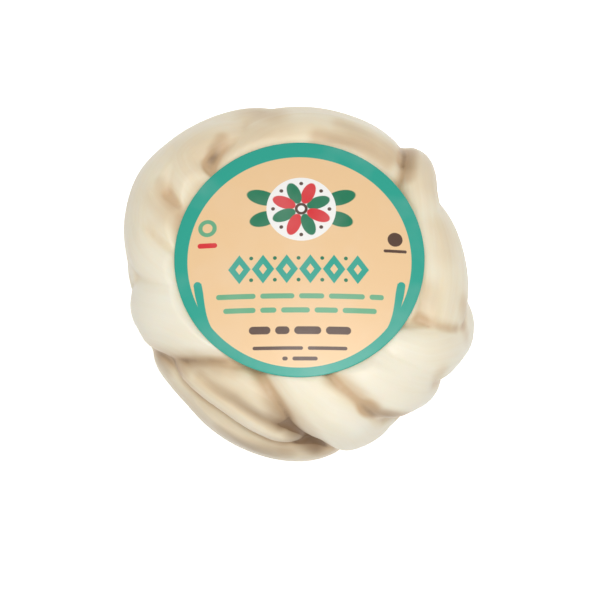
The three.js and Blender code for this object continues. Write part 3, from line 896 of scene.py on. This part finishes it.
def makePrintedPaper():
    look = labelPrint
    material, tree = newMaterial("printed paper")
    place = tree.add("ShaderNodeTexCoord", output="Object")
    x, y, _ = tree.split(place)
    unit = labelRadius / 70
    x, y = (x - float(centre[0])) / unit, (y - float(centre[1])) / unit
    soft = look["soft"]

    def disc(cx, cy, radius):
        dx, dy = x - cx, y - cy
        return (dx * dx + dy * dy).sqrt().ramp(radius + soft, radius - soft)

    def bar(cx, cy, width, height):
        corner = height / 2
        dx = ((x - cx).abs() - (width / 2 - corner)).most(0.0)
        dy = y - cy
        return (dx * dx + dy * dy).sqrt().ramp(corner + soft, corner - soft)

    def lozenge(cx, cy, width, height):
        return ((x - cx).abs() / (width / 2) + (y - cy).abs() / (height / 2)).ramp(1.04, 0.96)

    def petal(cx, cy, angle, near, far, width):
        turn = math.radians(angle)
        dx, dy = x - cx, y - cy
        forward = dx * math.cos(turn) + dy * math.sin(turn)
        aside = dy * math.cos(turn) - dx * math.sin(turn)
        reach = (forward - (near + far) / 2) / ((far - near) / 2)
        across = aside / (width / 2)
        return (reach * reach + across * across).sqrt().ramp(1.06, 0.94)

    colour = tree.blend(disc(0, -look["rimDrop"], look["rimInside"]), look["teal"], look["peach"])

    def paint(ink, mask):
        nonlocal colour
        colour = tree.blend(mask, colour, look[ink])

    # two crescents that part from the rim low down on both sides
    drop = 0.0 - y.maths("ARCTAN2", x.abs()) * (180 / math.pi) - look["crescentFrom"]
    radius = (x * x + y * y).sqrt()
    insideStart, insideGrowth = look["crescentInside"]
    outsideStart, outsideGrowth = look["crescentOutside"]
    inner = insideStart + drop.ramp(0.0, look["crescentRun"]) * insideGrowth
    outer = outsideStart + drop.most(0.0) * outsideGrowth
    between = (radius - inner).ramp(-soft, soft) * (outer - radius).ramp(-soft, soft)
    paint("teal", between * drop.ramp(-0.1, 0.1))
    tipX, tipY, tipRadius = look["crescentTip"]
    for side in (-1, 1):
        paint("teal", disc(side * tipX, tipY, tipRadius))

    # a rosette with leaves at its sides
    cx, cy = look["rosette"]
    for side in (-1, 1):
        for lean, far in look["leaves"]:
            angle = 90 - side * (90 - lean)
            paint("green", petal(cx, cy, angle, look["leafStart"], far, look["leafWidth"]))
    paint("white", disc(cx, cy, look["plate"]))
    beadsOut, beadRadius = look["beads"]
    for i in range(8):
        paint("red" if i % 2 else "green", petal(cx, cy, 22.5 + 45 * i, *look["petals"]))
        spoke = math.radians(45 * i)
        paint("brown", disc(cx + beadsOut * math.cos(spoke), cy + beadsOut * math.sin(spoke), beadRadius))
    for ink, eyeRadius in zip(("brown", "white"), look["eye"]):
        paint(ink, disc(cx, cy, eyeRadius))

    # a row of lozenges, with dots between them
    startX, rowY = look["lozengeStart"]
    step = look["lozengeStep"]
    for i in range(look["lozenges"]):
        for ink, width, height in look["lozengeSizes"]:
            paint(ink, lozenge(startX + step * i, rowY, width, height))
    dotRise, dotRadius = look["dots"]
    for i in range(look["lozenges"] - 1):
        for side in (-1, 1):
            paint("green", disc(startX + step / 2 + step * i, rowY + side * dotRise, dotRadius))

    # rows of plain bars
    for rowY, height, ink, widths in look["rows"]:
        left = look["rowMiddle"] - (sum(widths) + look["barGap"] * (len(widths) - 1)) / 2
        for width in widths:
            paint(ink, bar(left + width / 2, rowY, width, height))
            left += width + look["barGap"]

    # a small seal at each side
    for ink, *size in look["sealDiscs"]:
        paint(ink, disc(*size))
    for ink, *size in look["sealBars"]:
        paint(ink, bar(*size))

    grain = tree.noise(place, look["grain"], detail=3.0)
    wear = (tree.noise(place, look["wear"]) - 0.45).most(0.0) * 0.25
    colour = tree.blend(wear, colour, look["white"])
    bump = tree.add("ShaderNodeBump", None, {
        "Strength": 0.2, "Distance": look["bumpDepth"], "Height": grain,
    })
    shader = tree.add("ShaderNodeBsdfPrincipled", None, {
        "Base Color": colour, "Roughness": 0.42 + (grain - 0.5) * 0.12, "Normal": bump,
        "Coat Weight": 0.25, "Coat Roughness": 0.3,
    })
    close(tree, shader)
    return material


def makeLabel(material):
    shares = np.linspace(1, 0, labelShape["rings"], endpoint=False)
    angles = np.linspace(0, 2 * math.pi, labelShape["around"], endpoint=False)
    distance = shares[:, None] * labelRadius
    x = distance * np.cos(angles) + centre[0]
    y = distance * np.sin(angles) + centre[1]
    waves = np.sin(3 * angles + labelShape["rippleStart"]) * np.sin(5 * angles)
    ripple = labelShape["ripple"] * waves * shares[:, None] ** 3
    under = labelUnderside(distance) + np.maximum(ripple, 0)
    top = np.stack([x, y, under + labelShape["thickness"]], -1)
    bottom = np.stack([x, y, under], -1)
    label = closedRings(np.concatenate([top[::-1], bottom]), "round_label")
    label.data.materials.append(material)
    for face in label.data.polygons:
        face.use_smooth = True
    bevel = label.modifiers.new("soft edge", "BEVEL")
    bevel.width = labelShape["edge"]
    bevel.segments = 2
    bevel.limit_method = "ANGLE"
    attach(label, "root")
    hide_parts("label")


room = {
    "floorSize": 6.0,
    "floorColour": srgb(252, 252, 252),
    "floorGlow": 0.72,
    "sky": 0.5,
    "lights": [  # name, place, size and power
        ("key", (0.2, -0.3, 1.9), 0.9, 16.0),
        ("fill", (-0.3, -1.5, 0.7), 1.2, 4.0),
    ],
}
lens = {
    "elevation": 70,  # degrees above level
    "distance": 2.4,
    "frameWidth": 336 * mm,  # what the camera takes in at the ball's middle
    "drop": 9.2 * mm,  # how far it aims below and beside the ball's middle
    "aside": 0.3 * mm,
    "sensor": 36.0,
    "clipEnd": 50,
}


def makeFloor():
    half = room["floorSize"] / 2
    floor = newObject("floor", [(-half, -half, 0), (half, -half, 0), (half, half, 0), (-half, half, 0)], (),
                      [(0, 1, 2, 3)])
    material, tree = newMaterial("pale floor")
    close(tree, tree.add("ShaderNodeBsdfPrincipled", None, {
        "Base Color": room["floorColour"], "Roughness": 0.9, "Specular IOR Level": 0.1,
        "Emission Color": (1.0, 1.0, 1.0, 1.0), "Emission Strength": room["floorGlow"]}))
    floor.data.materials.append(material)
    floor.visible_diffuse = False  # its glow keeps it pale and stays off the ball


def makeLight(name, place, size, power, aim):
    data = bpy.data.lights.new(name, "AREA")
    data.shape = "DISK"
    data.size = size
    data.energy = power
    light = bpy.data.objects.new(name, data)
    light.location = place
    light.rotation_euler = (Vector(aim) - Vector(place)).to_track_quat("-Z", "Y").to_euler()
    light.visible_camera = False
    bpy.context.collection.objects.link(light)


def makeRoom():
    scene = bpy.context.scene
    world = bpy.data.worlds.new("studio")
    scene.world = world
    world.use_nodes = True
    background = world.node_tree.nodes["Background"]
    background.inputs["Color"].default_value = (1.0, 1.0, 1.0, 1.0)
    background.inputs["Strength"].default_value = room["sky"]
    for name, place, size, power in room["lights"]:
        makeLight(name, place, size, power, centre)
    scene.view_settings.view_transform = "Standard"
    scene.view_settings.look = "None"


def makeCamera():
    data = bpy.data.cameras.new("camera")
    tilt = math.radians(lens["elevation"])
    back = Vector((0, -math.cos(tilt), math.sin(tilt)))
    up = Vector((0, math.sin(tilt), math.cos(tilt)))
    aim = Vector(centre) - up * lens["drop"] + Vector((lens["aside"], 0, 0))
    data.sensor_width = lens["sensor"]
    data.lens = lens["sensor"] * lens["distance"] / lens["frameWidth"]
    camera = bpy.data.objects.new("camera", data)
    camera.location = aim + back * lens["distance"]
    camera.rotation_euler = (-back).to_track_quat("-Z", "Y").to_euler()
    data.clip_end = lens["clipEnd"]
    bpy.context.collection.objects.link(camera)
    bpy.context.scene.camera = camera


makeFloor()
makeRoom()
makeCamera()
print("room done")
makeCheese(makeCurd())
print("cheese done")
makeLabel(makePrintedPaper())
print("label done")
